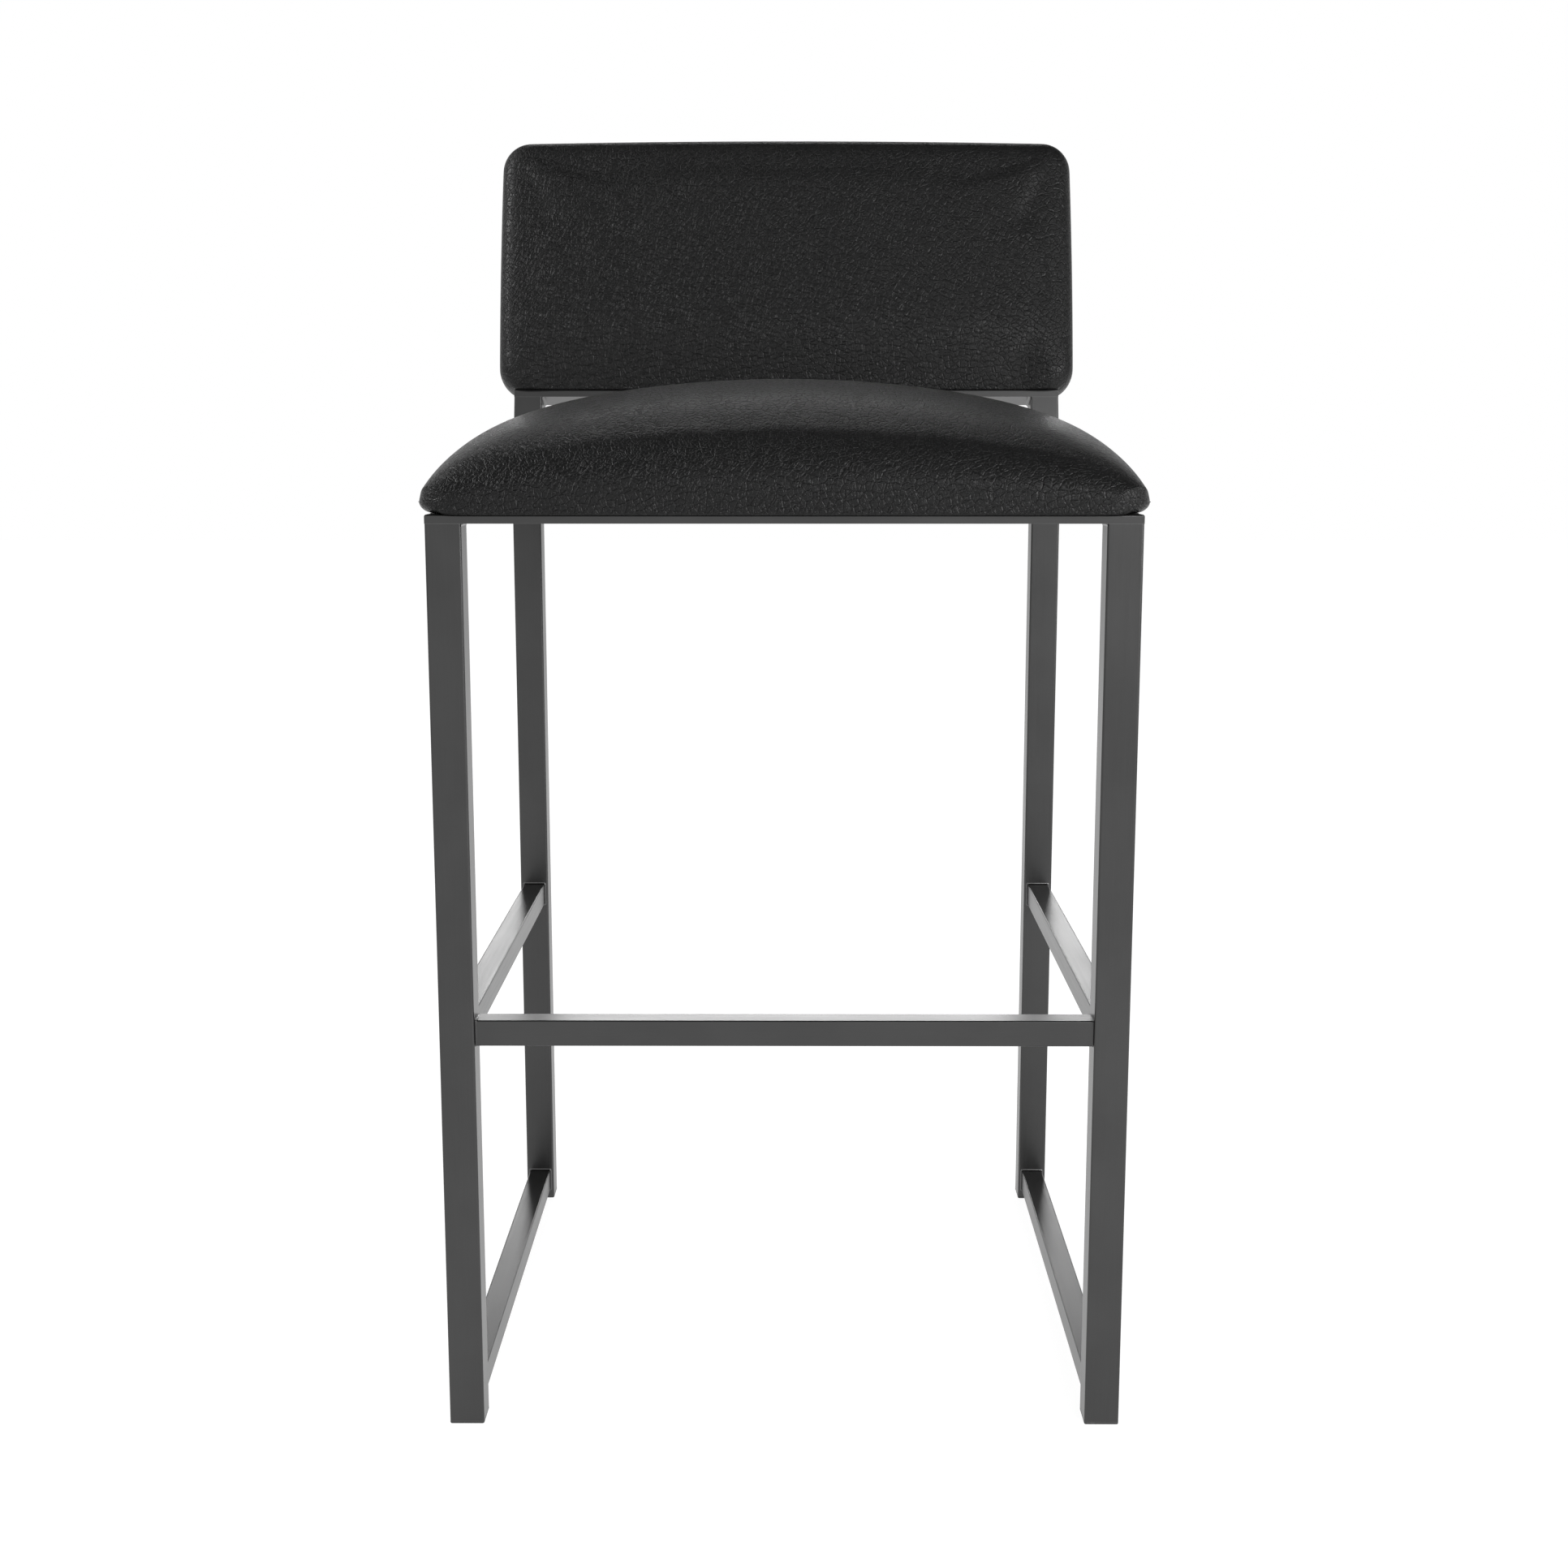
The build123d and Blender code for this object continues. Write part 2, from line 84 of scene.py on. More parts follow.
class Finish:
    """A material or world in the making; node() adds any kind of node to it."""

    def __init__(self, holder):
        self.holder = holder
        holder.use_nodes = True
        self.tree = holder.node_tree
        self.shader = self.tree.nodes.get("Principled BSDF")

    def node(self, kind, settings=None, inputs=None, out=0):
        """Adds a shader node and gives one of its outputs."""
        made = self.tree.nodes.new("ShaderNode" + kind)
        for name, value in (settings or {}).items():
            setattr(made, name, value)
        for name, value in (inputs or {}).items():
            self.plug(made.inputs[name], value)
        return Field(self, made.outputs[out])

    def plug(self, socket, value):
        """Links a field to a socket, or sets the socket to a plain value."""
        if isinstance(value, Field):
            self.tree.links.new(value.socket, socket)
        else:
            socket.default_value = value

    def surface(self, **inputs):
        """Sets the main shader's sockets, named with _ for a space."""
        for name, value in inputs.items():
            self.plug(self.shader.inputs[name.replace("_", " ")], value)

    def place(self, turn=(0, 0, 0), stretch=(1, 1, 1)):
        """Object coordinates, turned and then scaled by stretch."""
        where = self.node("TexCoord", out="Object")
        turned = self.node("Mapping", {}, {"Vector": where, "Rotation": turn})
        return self.node("VectorMath", {"operation": "MULTIPLY"}, {0: turned, 1: stretch})

    def noise(self, where, scale, detail=2.0, out=0):
        inputs = {"Vector": where, "Scale": scale, "Detail": detail}
        return self.node("TexNoise", {}, inputs, out)

    def step(self, value, low, high):
        """Smooth step of a value between two limits."""
        settings = {"interpolation_type": "SMOOTHSTEP"}
        inputs = {"Value": value, 1: low, 2: high}
        return self.node("MapRange", settings, inputs)

    def blend(self, factor, first, second):
        """Mix of two colours."""
        inputs = {0: factor, 6: first, 7: second}
        return self.node("Mix", {"data_type": "RGBA"}, inputs, out=2)

    def bump(self, height, depth, strength):
        """Bumped normal from a height; the depth is in metres."""
        inputs = {"Height": height, "Distance": depth, "Strength": strength}
        return self.node("Bump", {}, inputs)


def grey(level, warmth=0.0):
    """Colour of one level, a little warm or cool."""
    return (level * (1 + warmth), level, level * (1 - warmth), 1.0)


LEAN = math.radians(16.7)
ALONG = {
    "up": (0, 0, 0),
    "across": (0, math.radians(-90), 0),
    "back": (math.radians(90), 0, 0),
    "leaning": (LEAN, 0, 0),
}


def satin_steel(run):
    """Dark satin steel, brushed along a tube that runs in one direction, with a highlight painted
    along its sharp edges.
    """
    steel = Finish(bpy.data.materials.new("satin_steel_" + run))
    brushed = steel.place(ALONG[run], (1, 1, 0.018))
    hairs = steel.noise(brushed, 1500.0, 3.0)
    strokes = steel.noise(brushed, 420.0, 2.0)
    cloud = steel.noise(steel.place(), 14.0, 3.0)
    tone = steel.step(cloud, 0.3, 0.7) * 0.5 + hairs * 0.5
    finish = steel.blend(tone, grey(0.063), grey(0.076))
    # Painted highlight: the base colour turns lighter wherever the Bevel normal leans away from
    # the face's own normal, that is along every sharp edge.
    rounded = steel.node("Bevel", {"samples": 6}, {"Radius": 0.7 * MM})
    flat = steel.node("NewGeometry", out="Normal")
    facing = steel.node("VectorMath", {"operation": "DOT_PRODUCT"}, {0: rounded, 1: flat}, "Value")
    edge = steel.step(1 - facing, 0.02, 0.22)
    steel.surface(
        Metallic=1.0,
        Base_Color=steel.blend(edge, finish, grey(0.125)),
        Roughness=0.24 + hairs * 0.06 + strokes * 0.05 + cloud * 0.04,
        Normal=steel.bump(hairs + strokes, 0.012 * MM, 0.35),
    )
    return steel.holder


SATIN = {run: satin_steel(run) for run in ALONG}


def dress(material, *nodes):
    """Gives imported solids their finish."""
    for name in nodes:
        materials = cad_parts[name].data.materials
        materials.clear()
        materials.append(material)


def pair(name):
    """The left and the right node of a pair."""
    return name + "_left", name + "_right"


dress(SATIN["up"], *pair("front_leg"), *pair("rear_leg"))
dress(SATIN["leaning"], *pair("back_upright"))

# ----------------------------------------------------------------------------
# Flat bars.  Quarter-inch bar as wide as the legs, mitred into a ring that the
# seat is bolted to, and one more across the leaning uprights for the back pad.
# Drilled tabs are welded inside the ring for the seat's bolts.
# ----------------------------------------------------------------------------
dress(SATIN["across"], "front_top_bar", "back_top_bar", "seat_rear_bar", "seat_tabs")
dress(SATIN["back"], *pair("seat_side_bar"))

# ----------------------------------------------------------------------------
# Footrest and floor runners.  Three-quarter-inch square tube, cut square and
# welded between the legs; the sitter's heels rest on the front bar, which is
# set a little behind the legs' front face.
# ----------------------------------------------------------------------------
dress(SATIN["across"], "footrest_front_bar")
dress(SATIN["back"], *pair("footrest_side_bar"), *pair("floor_runner"))


# ----------------------------------------------------------------------------
# Welds.  Small concave fillets of weld metal, dressed smooth and finished with
# the frame: a collar round the end of each square tube, and a strip in each
# inner corner under the two top bars.
# ----------------------------------------------------------------------------
def start(name, add, **sizes):
    """Adds a primitive on its own, named, and opens it for editing."""
    bpy.ops.object.select_all(action="DESELECT")
    add(**sizes)
    piece = bpy.context.active_object
    piece.name = name
    piece.data.name = name
    bpy.ops.object.mode_set(mode="EDIT")
    return piece


def pick(piece, parts, wanted):
    """Selects just the verts, edges or faces whose middle passes a test."""
    bpy.ops.mesh.select_mode(type={"verts": "VERT", "edges": "EDGE", "faces": "FACE"}[parts])
    bpy.ops.mesh.select_all(action="DESELECT")
    mesh = bmesh.from_edit_mesh(piece.data)
    for part in getattr(mesh, parts):
        if parts == "verts":
            middle = part.co
        elif parts == "edges":
            middle = (part.verts[0].co + part.verts[1].co) / 2
        else:
            middle = part.calc_center_median()
        part.select_set(wanted(middle))
    mesh.select_flush_mode()
    bmesh.update_edit_mesh(piece.data)


def into_mesh():
    """Ends editing and puts the piece's place, turn and scale into its mesh."""
    bpy.ops.object.mode_set(mode="OBJECT")
    bpy.ops.object.transform_apply(location=True, rotation=True, scale=True)


def settle(piece, material, smooth=35):
    """Closes a piece: its place goes into its mesh, then its finish and body."""
    if bpy.context.mode != "OBJECT":
        bpy.ops.object.mode_set(mode="OBJECT")
    bpy.ops.object.select_all(action="DESELECT")
    bpy.context.view_layer.objects.active = piece
    piece.select_set(True)
    bpy.ops.object.transform_apply(location=True, rotation=True, scale=True)
    bpy.ops.object.shade_smooth_by_angle(angle=math.radians(smooth))
    piece.data.materials.clear()
    piece.data.materials.append(material)
    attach(piece, "root")
    return piece


def copy_of(piece, name, matrix):
    """A copy with its own mesh, moved into place."""
    twin = piece.copy()
    twin.data = piece.data.copy()
    twin.name = name
    twin.data.transform(matrix)
    bpy.context.scene.collection.objects.link(twin)
    return twin


def join(pieces, name):
    """Several loose parts of one piece as one mesh."""
    bpy.ops.object.select_all(action="DESELECT")
    for piece in pieces:
        piece.select_set(True)
    bpy.context.view_layer.objects.active = pieces[0]
    bpy.ops.object.join()
    pieces[0].name = name
    pieces[0].data.name = name
    return pieces[0]


COLLAR_WELD = 1.3 * MM
CORNER_WELD = 1.9 * MM
WELD_STEPS = 5
WELD_HOLLOW = 0.086
TUBE_CORNER = 1.2 * MM
COLLAR_DEEP = 0.4 * MM


def collar_weld(size):
    """Flared ring round a square tube that ends at Z = 0 and comes from above."""
    ring = start(
        "collar", bpy.ops.mesh.primitive_circle_add,
        vertices=4, radius=size / math.sqrt(2), fill_type="NOTHING",
        location=(0, 0, COLLAR_WELD), rotation=(0, 0, math.radians(45)),
    )
    into_mesh()
    bpy.ops.object.mode_set(mode="EDIT")
    bpy.ops.mesh.select_all(action="SELECT")
    bpy.ops.mesh.bevel(offset=TUBE_CORNER, affect="VERTICES", segments=4)
    last = 0.0
    for i in range(1, WELD_STEPS + 1):
        turn = math.radians(90) * i / WELD_STEPS
        out = COLLAR_WELD * (1 - math.cos(turn))
        down = COLLAR_WELD * (math.sin(turn) - math.sin(turn - math.radians(90) / WELD_STEPS))
        factor = (size + 2 * out) / (size + 2 * last)
        bpy.ops.mesh.extrude_region_move(TRANSFORM_OT_translate={"value": (0, 0, -down)})
        bpy.ops.transform.resize(value=(factor, factor, 1), center_override=(0, 0, 0))
        last = out
    inner = (size - COLLAR_DEEP) / (size + 2 * last)
    bpy.ops.mesh.extrude_region_move(TRANSFORM_OT_translate={"value": (0, 0, 0)})
    bpy.ops.transform.resize(value=(inner, inner, 1), center_override=(0, 0, 0))
    bpy.ops.mesh.extrude_region_move(TRANSFORM_OT_translate={"value": (0, 0, COLLAR_WELD)})
    bpy.ops.mesh.select_all(action="SELECT")
    bpy.ops.mesh.remove_doubles(threshold=0.01 * MM)
    bpy.ops.mesh.normals_make_consistent(inside=False)
    bpy.ops.object.mode_set(mode="OBJECT")
    return ring


def corner_weld(length):
    """Concave strip along X in the corner of Y > 0 and Z > 0, open side out."""
    strip = start(
        "strip", bpy.ops.mesh.primitive_plane_add, size=CORNER_WELD,
        location=(-length / 2, CORNER_WELD / 2, CORNER_WELD / 2),
        rotation=(0, math.radians(90), 0),
    )
    into_mesh()
    bpy.ops.object.mode_set(mode="EDIT")
    far = CORNER_WELD * 0.9
    pick(strip, "verts", lambda at: at.y > far and at.z > far)
    bpy.ops.mesh.bevel(
        offset=CORNER_WELD * 0.995, affect="VERTICES",
        segments=WELD_STEPS, profile=WELD_HOLLOW,
    )
    bpy.ops.mesh.select_all(action="SELECT")
    bpy.ops.mesh.extrude_region_move(TRANSFORM_OT_translate={"value": (length, 0, 0)})
    bpy.ops.mesh.select_all(action="SELECT")
    bpy.ops.mesh.normals_make_consistent(inside=False)
    bpy.ops.object.mode_set(mode="OBJECT")
    return strip


def turn(degrees, axis):
    """Matrix of a turn about one axis."""
    return Matrix.Rotation(math.radians(degrees), 4, axis)


leg_low, leg_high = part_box("front_leg_right")
rear_low, rear_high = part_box("rear_leg_right")
LEG = leg_high.x - leg_low.x
rail_low, rail_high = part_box("footrest_side_bar_right")
BAR = rail_high.x - rail_low.x
collar = collar_weld(BAR)
welds = []
for side, spin in ((1, -90), (-1, 90)):
    low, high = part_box("footrest_front_bar")
    middle = Vector((side * high.x, (low.y + high.y) / 2, (low.z + high.z) / 2))
    place = Matrix.Translation(middle) @ turn(spin, "Y")
    welds.append(copy_of(collar, "weld", place))
    for name in ("footrest_side_bar_right", "floor_runner_right"):
        low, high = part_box(name)
        for y, tip in ((low.y, -90), (high.y, 90)):
            middle = Vector((side * (low.x + high.x) / 2, y, (low.z + high.z) / 2))
            place = Matrix.Translation(middle) @ turn(tip, "X")
            welds.append(copy_of(collar, "weld", place))
strip = corner_weld(LEG)
top_low, top_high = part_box("front_top_bar")
bend = Vector((0, rear_low.y, rear_high.z))
leaning = Matrix.Translation(bend) @ Matrix.Rotation(-LEAN, 4, "X")
UPRIGHT = 102.2 * MM
BACK_BAR = 7.5 * MM
for side in (1, -1):
    quarter = turn(side * 90, "Z") @ turn(180, "Y")
    front = Matrix.Translation((side * leg_low.x, (leg_low.y + leg_high.y) / 2, top_low.z))
    back = leaning @ Matrix.Translation((side * leg_low.x, LEG / 2, UPRIGHT - BACK_BAR))
    welds.append(copy_of(strip, "weld", front @ quarter))
    welds.append(copy_of(strip, "weld", back @ quarter))
bpy.data.objects.remove(collar)
bpy.data.objects.remove(strip)
settle(join(welds, "frame_welds"), SATIN["across"])


# ----------------------------------------------------------------------------
# Leg glides.  Black nylon plugs with three sealing fins, moulded in one piece
# and pushed into the open foot of each leg, so that a thin head shows below
# the tube and stands on the floor.
# ----------------------------------------------------------------------------
def moulded_nylon():
    """Fine spark-eroded grain of a moulding, slightly worn."""
    nylon = Finish(bpy.data.materials.new("glide_nylon"))
    grain = nylon.noise(nylon.place(), 2600.0, 2.0)
    scuff = nylon.step(nylon.noise(nylon.place(), 160.0, 4.0), 0.5, 0.8)
    nylon.surface(
        Base_Color=nylon.blend(scuff, grey(0.030), grey(0.055)),
        Roughness=0.50 + scuff * 0.15,
        Normal=nylon.bump(grain, 0.03 * MM, 0.5),
    )
    return nylon.holder


dress(moulded_nylon(), *pair("glide_front"), *pair("glide_rear"))


# ----------------------------------------------------------------------------
# Seat board with its T-nuts.  A 12 mm birch plywood board, cut with rounded
# corners; four zinc-plated T-nuts are driven in flush from above for the bolts
# that come up through the tabs.
# ----------------------------------------------------------------------------
def birch_plywood():
    """Bare birch face, with its plies showing in bands round the edge."""
    wood = Finish(bpy.data.materials.new("birch_plywood"))
    figure = wood.noise(wood.place(stretch=(6, 90, 90)), 1.0, 5.0)
    plies = wood.noise(wood.place(stretch=(0.5, 0.5, 700)), 1.0, 1.0)
    tone = figure * 0.6 + plies * 0.4
    wood.surface(
        Base_Color=wood.blend(tone, (0.50, 0.34, 0.19, 1), (0.72, 0.55, 0.36, 1)),
        Roughness=0.62 + figure * 0.12,
        Normal=wood.bump(figure, 0.1 * MM, 0.4),
    )
    return wood.holder


def zinc():
    """Bright zinc plating with its faint spangle."""
    plating = Finish(bpy.data.materials.new("zinc_plating"))
    spangle = plating.node("TexVoronoi", {}, {"Vector": plating.place(), "Scale": 900.0}, 1)
    cloud = plating.noise(plating.place(), 220.0, 3.0)
    tone = plating.node("SeparateColor", {}, {0: spangle}) * 0.5 + cloud * 0.5
    plating.surface(
        Metallic=1.0,
        Base_Color=plating.blend(tone, grey(0.50, 0.01), grey(0.68, -0.02)),
        Roughness=0.26 + cloud * 0.14,
        Normal=plating.bump(cloud, 0.02 * MM, 0.4),
    )
    return plating.holder


PLYWOOD = birch_plywood()
ZINC = zinc()
dress(PLYWOOD, "seat_board")
dress(ZINC, "seat_tnuts")


# ----------------------------------------------------------------------------
# Seat pad.  A dome of upholstery foam glued on the board, under one hide of
# black pebble-grained leather that is pulled down over it and turned in under
# the board.  It is high in the middle and thin at its corners.
# ----------------------------------------------------------------------------
def pebble_leather():
    """Black leather: rounded pebbles a few millimetres wide between creases, with shade painted
    into the creases.
    """
    hide = Finish(bpy.data.materials.new("pebble_leather"))
    where = hide.place()
    drift = hide.noise(where, 75.0, 2.0, out=1)
    bent = hide.node(
        "VectorMath", {"operation": "MULTIPLY_ADD"},
        {0: drift, 1: (2.5 * MM, 2.5 * MM, 2.5 * MM), 2: where},
    )
    edges = {"feature": "DISTANCE_TO_EDGE"}
    coarse = hide.node("TexVoronoi", edges, {"Vector": bent, "Scale": 195.0}, "Distance")
    fine = hide.node("TexVoronoi", edges, {"Vector": bent, "Scale": 430.0}, "Distance")
    pores = hide.noise(where, 3200.0, 2.0)
    pebble = hide.step(coarse, 0.0, 0.13)
    small = hide.step(fine, 0.0, 0.12)
    height = pebble * 0.62 + small * 0.34 + pores * 0.04
    hide.surface(
        # Painted shade: the base colour is darker down in the creases than on the pebble tops.
        Base_Color=hide.blend(pebble, grey(0.0035), grey(0.0065, -0.01)),
        Roughness=0.40 - pebble * 0.08,
        Specular_IOR_Level=0.21,
        Normal=hide.bump(height, 0.48 * MM, 1.0),
    )
    return hide.holder


def sponge():
    """Open-celled foam."""
    foam = Finish(bpy.data.materials.new("upholstery_foam"))
    cells = foam.node("TexVoronoi", {}, {"Vector": foam.place(), "Scale": 900.0})
    cloud = foam.noise(foam.place(), 30.0, 3.0)
    foam.surface(
        Base_Color=foam.blend(cloud, (0.80, 0.76, 0.62, 1), (0.86, 0.84, 0.74, 1)),
        Roughness=0.95,
        Normal=foam.bump(cells, 0.4 * MM, 0.7),
    )
    return foam.holder


LEATHER = pebble_leather()
FOAM = sponge()


def inside_outline(x, y, half_x, half_y, corner):
    """Distance from a point in to a rounded rectangle's outline."""
    qx = abs(x) - (half_x - corner)
    qy = abs(y) - (half_y - corner)
    outside = math.hypot(max(qx, 0.0), max(qy, 0.0))
    return corner - outside - min(max(qx, qy), 0.0)


def on_outline(a, b, half_x, half_y, corner):
    """Moves a point of the unit square's edge onto a rounded rectangle."""
    x, y = a * half_x, b * half_y
    core_x = max(-(half_x - corner), min(half_x - corner, x))
    core_y = max(-(half_y - corner), min(half_y - corner, y))
    away = Vector((x - core_x, y - core_y))
    away.normalize()
    return core_x + corner * away.x, core_y + corner * away.y


def select_only(piece):
    """Selects one piece and makes it the active one."""
    bpy.ops.object.select_all(action="DESELECT")
    piece.select_set(True)
    bpy.context.view_layer.objects.active = piece


def apply(piece, kind, **settings):
    """Adds one modifier to a piece and applies it."""
    select_only(piece)
    made = piece.modifiers.new(kind.lower(), kind)
    for name, value in settings.items():
        setattr(made, name, value)
    bpy.ops.object.modifier_apply(modifier=made.name)


def ease(value, low, high):
    """Smooth step of a plain number between two limits."""
    share = max(0.0, min(1.0, (value - low) / (high - low)))
    return share * share * (3 - 2 * share)


GRID = 96
EDGE_CUTS = 4
WALL = 0.6 * MM
TRACE = 4000
RIM_PACK = 2.5
RIM_FROM = 0.75
CORNER_FADE = 8
PRESSURE = 4.0
SWELL_FRAMES = 20


def even_places(profile, half):
    """Places from 0 to half, evenly spaced along a curve and closer at the rim."""
    places = [half * (1 - (1 - i / TRACE) ** 4) for i in range(TRACE + 1)]
    heights = [profile(place) for place in places]
    runs = [0.0]
    for i in range(TRACE):
        run = math.hypot(places[i + 1] - places[i], heights[i + 1] - heights[i])
        packed = 1 + RIM_PACK * ease(places[i] / half, RIM_FROM, 1.0)
        runs.append(runs[-1] + run * packed)
    even = []
    at = 0
    for i in range(GRID // 2 + 1):
        while at < TRACE and runs[at] < runs[-1] * i / (GRID // 2):
            at += 1
        even.append(places[at])
    return even


def cushion(name, half_x, half_y, corner, over, under, form):
    """Closed pad between two skins over a rounded outline, then given its form."""
    pad = start(
        name, bpy.ops.mesh.primitive_grid_add,
        x_subdivisions=GRID, y_subdivisions=GRID, size=2, location=(0, 0, 1),
    )
    into_mesh()
    bottom = copy_of(pad, "bottom", Matrix.Scale(-1, 4, (0, 0, 1)))
    join([pad, bottom], name)
    bpy.ops.object.mode_set(mode="EDIT")
    pick(pad, "edges", lambda at: max(abs(at.x), abs(at.y)) > 1 - 1e-4)
    bpy.ops.mesh.bridge_edge_loops(number_cuts=EDGE_CUTS)
    bpy.ops.mesh.select_all(action="SELECT")
    bpy.ops.mesh.normals_make_consistent(inside=False)
    bpy.ops.object.mode_set(mode="OBJECT")
    along_x = even_places(lambda x: over(x, 0.0), half_x)
    along_y = even_places(lambda y: over(0.0, y), half_y)
    for vert in pad.data.vertices:
        a, b, c = vert.co
        u = math.copysign(along_x[round(abs(a) * GRID / 2)] / half_x, a)
        v = math.copysign(along_y[round(abs(b) * GRID / 2)] / half_y, b)
        ring = max(abs(u), abs(v), 1e-6)
        x, y = on_outline(u / ring, v / ring, half_x, half_y, corner)
        fade = ring**CORNER_FADE
        x = u * half_x + (x - u / ring * half_x) * fade
        y = v * half_y + (y - v / ring * half_y) * fade
        bottom = under(x, y)
        top = max(over(x, y), bottom + WALL)
        vert.co = form(Vector((x, y, bottom + (top - bottom) * (c + 1) / 2)))
    pad.data.update()
    return pad


def inflate(pad, held, reach):
    """Lets the hide swell where it isn't held; reach limits how far a place moves."""
    rest = [vert.co.copy() for vert in pad.data.vertices]
    group = pad.vertex_groups.new(name="held")
    group.add([i for i, co in enumerate(rest) if held(co)], 1.0, "REPLACE")
    select_only(pad)
    cloth = pad.modifiers.new("cloth", "CLOTH")
    hide = cloth.settings
    hide.quality = 5
    hide.mass = 0.9
    hide.tension_stiffness = 60
    hide.compression_stiffness = 60
    hide.shear_stiffness = 30
    hide.bending_stiffness = 8
    hide.use_pressure = True
    hide.uniform_pressure_force = PRESSURE
    hide.vertex_group_mass = "held"
    hide.effector_weights.gravity = 0
    cloth.point_cache.frame_end = SWELL_FRAMES
    for step in range(1, SWELL_FRAMES + 1):
        bpy.context.scene.frame_set(step)
    bpy.ops.object.modifier_apply(modifier=cloth.name)
    bpy.context.scene.frame_set(1)
    for vert, was in zip(pad.data.vertices, rest):
        move = vert.co - was
        limit = reach(was)
        if move.length > limit:
            vert.co = was + move * (limit / move.length)
    pad.vertex_groups.clear()


seat_low, seat_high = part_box("seat_cover")
SEAT_X = 253.3 * MM
SEAT_Y = (seat_high.y - seat_low.y) / 2
SEAT_MIDDLE = (seat_high.y + seat_low.y) / 2
SEAT_CORNER = 30 * MM
SEAT_ROUND = 2.6 * MM
SEAT_END_ROUND = 7.3 * MM
SEAT_CORNER_LIFT = 0.5 * MM
SEAT_TIP = (1.82, 2.0)
SEAT_RIM = 13 * MM
SEAT_SPRING = 5.2 * MM
SEAT_CROWN = 90.8 * MM
DOME_SIDE = (1.848, 0.3263)
DOME_FRONT = (2.067, 0.383)
SEAT_SWELL = 2 * MM
SEAT_REACH = (6 * MM, 70 * MM)
LIP = 1.7 * MM
LIP_HIGH = 7 * MM
LIP_WIDE = 6 * MM
LIP_ENDS = (0.80, 1.0)
LAP = 1.2 * MM
LAP_DEEP = (4.2 * MM, 5.2 * MM)
LAP_ENDS = (0.92, 0.985)
FRAME_TOP = top_high.z
HIDE = 1.5 * MM
FOAM_GAP = 0.3 * MM
INSET = HIDE + 0.9 * MM
TURNED_IN = 45 * MM


def seat_skin(x, y):
    """Height of the seat's dome at a point of its plan, before it swells."""
    side = max(1 - abs(x / SEAT_X) ** DOME_SIDE[0], 0.0) ** DOME_SIDE[1]
    front = max(1 - abs(y / SEAT_Y) ** DOME_FRONT[0], 0.0) ** DOME_FRONT[1]
    return FRAME_TOP + SEAT_SPRING + SEAT_CROWN * side * front


def seat_underside(x, y):
    """Height of the underside: tight edge in front, rounder towards the sides."""
    depth = inside_outline(x, y, SEAT_X, SEAT_Y, SEAT_CORNER)
    off_x = abs(x) - (SEAT_X - SEAT_CORNER)
    off_y = abs(y) - (SEAT_Y - SEAT_CORNER)
    to_end = 1.0 if off_x > off_y else 0.0
    if off_x > 0 and off_y > 0:
        to_end = off_x**2 / (off_x**2 + off_y**2)
    rounding = SEAT_ROUND + (SEAT_END_ROUND - SEAT_ROUND) * to_end
    short = max(rounding - depth, 0.0)
    rise = rounding - math.sqrt(max(rounding**2 - short**2, 0.0))
    corner = ease(abs(x) / SEAT_X + abs(y) / SEAT_Y, *SEAT_TIP)
    lap = 1 - ease(SEAT_Y + y, *LAP_DEEP)
    lap *= 1 - ease(abs(x) / SEAT_X, *LAP_ENDS)
    return seat_low.z + rise + SEAT_CORNER_LIFT * corner - LAP * lap


def seat_form(co):
    """The leather swells out a little at the ends, low down over the rail."""
    off = (co.z - seat_low.z - LIP_HIGH) / LIP_WIDE
    swell = LIP * math.exp(-off * off) * ease(abs(co.x) / SEAT_X, *LIP_ENDS)
    return Vector((co.x + math.copysign(swell, co.x), co.y, co.z))


def seat_held(co):
    """The hide is fixed round the board's edge and below it."""
    return co.z < seat_low.z + SEAT_RIM


def seat_reach(co):
    """How far the seat's hide may move at a place."""
    depth = inside_outline(co.x, co.y - SEAT_MIDDLE, SEAT_X, SEAT_Y, SEAT_CORNER)
    return SEAT_SWELL * ease(depth, *SEAT_REACH)


def cut_block(piece, low, high, corner=0.0):
    """Takes a block, with its upright corners rounded, out of a piece."""
    centre = [(a + b) / 2 for a, b in zip(low, high)]
    block = start("cutter", bpy.ops.mesh.primitive_cube_add, size=1, location=centre)
    bpy.ops.object.mode_set(mode="OBJECT")
    block.scale = [b - a for a, b in zip(low, high)]
    bpy.ops.object.transform_apply(location=True, rotation=True, scale=True)
    if corner:
        bpy.ops.object.mode_set(mode="EDIT")
        x_edge = (high[0] - low[0]) * 0.49 + centre[0]
        pick(block, "edges", lambda at: abs(at.z - centre[2]) < MM and abs(at.x) > x_edge
             and abs(at.y - centre[1]) > (high[1] - low[1]) * 0.49)
        bpy.ops.mesh.bevel(offset=corner, segments=6)
        bpy.ops.object.mode_set(mode="OBJECT")
    apply(piece, "BOOLEAN", operation="DIFFERENCE", object=block, solver="EXACT")
    bpy.data.objects.remove(block)


